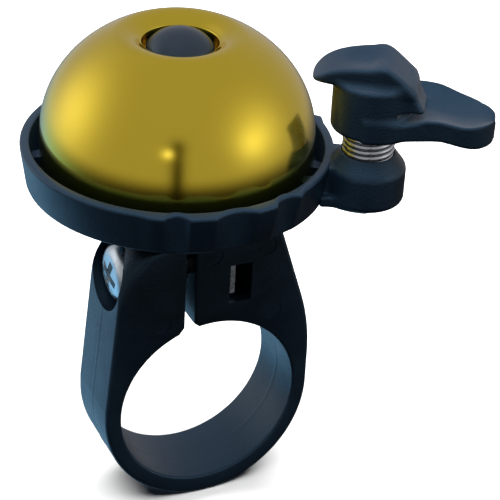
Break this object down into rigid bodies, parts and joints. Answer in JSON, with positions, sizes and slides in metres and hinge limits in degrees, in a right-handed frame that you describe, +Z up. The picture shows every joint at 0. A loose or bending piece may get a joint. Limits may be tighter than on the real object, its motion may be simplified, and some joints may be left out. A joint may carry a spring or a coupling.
{
  "type": "bicycle bell",
  "caption": "Small handlebar bell: domed brass gong on a split clamp, struck by a sprung flick lever carried on a turning ring.",
  "frame": {"origin": "centre of the handlebar bore, in the middle of the band's width", "axes": "+Y along the handlebar, away from the front face that shows the nut window; +Z up to the dome; +X towards the side without the pinch screw's head"},
  "size_m": [0.048, 0.0386, 0.0611],
  "materials": {
    "moulded_plastic": "satin blue-black moulded plastic",
    "gold_brass": "satin-polished golden brass",
    "insert_brass": "turned brass",
    "zinc_steel": "zinc-plated steel",
    "spring_steel": "bright spring wire",
    "white_nylon": "natural nylon",
    "soft_rubber": "soft black rubber"
  },
  "bodies": {
    "clamp": {"clamp_body": "moulded_plastic", "clamp_nut": "zinc_steel", "post_insert": "insert_brass", "wave_washer": "spring_steel", "slip_washer": "white_nylon", "ring_clip": "spring_steel", "bell_dome": "gold_brass", "dome_pad": "soft_rubber", "dome_washer": "zinc_steel", "dome_screw": "zinc_steel", "center_cap": "moulded_plastic"},
    "jaw": {"clamp_jaw": "moulded_plastic", "clamp_washer": "zinc_steel"},
    "pinch_screw": {"clamp_screw": "zinc_steel"},
    "ring": {"striker_ring": "moulded_plastic", "striker_spring": "spring_steel"},
    "striker": {"striker_lever": "moulded_plastic"}
  },
  "joints": [
    {"name": "screw_turn", "type": "hinge", "parent": "jaw", "child": "pinch_screw", "pos_m": [-0.0087, 0, 0.0176], "axis": [1, 0, 0], "range_deg": [-720, 490]},
    {"name": "jaw_flex", "type": "hinge", "parent": "clamp", "child": "jaw", "pos_m": [0, 0, -0.0124], "axis": [0, 1, 0], "range_deg": [-2.67, 1.82]},
    {"name": "ring_turn", "type": "hinge", "parent": "clamp", "child": "ring", "pos_m": [-0.0031, 0, 0.03], "axis": [0, 0, 1], "continuous": true},
    {"name": "striker_flex", "type": "hinge", "parent": "ring", "child": "striker", "pos_m": [0.01499, -0.01162, 0.0367], "axis": [0.5402, 0.8415, 0], "range_deg": [-11.1, 35], "stiffness_Nm_per_rad": 0.03, "deforming": ["striker_spring"]}
  ],
  "couplings": [
    {"joint": "jaw_flex", "follows": "screw_turn", "ratio": 0.0037136}
  ]
}
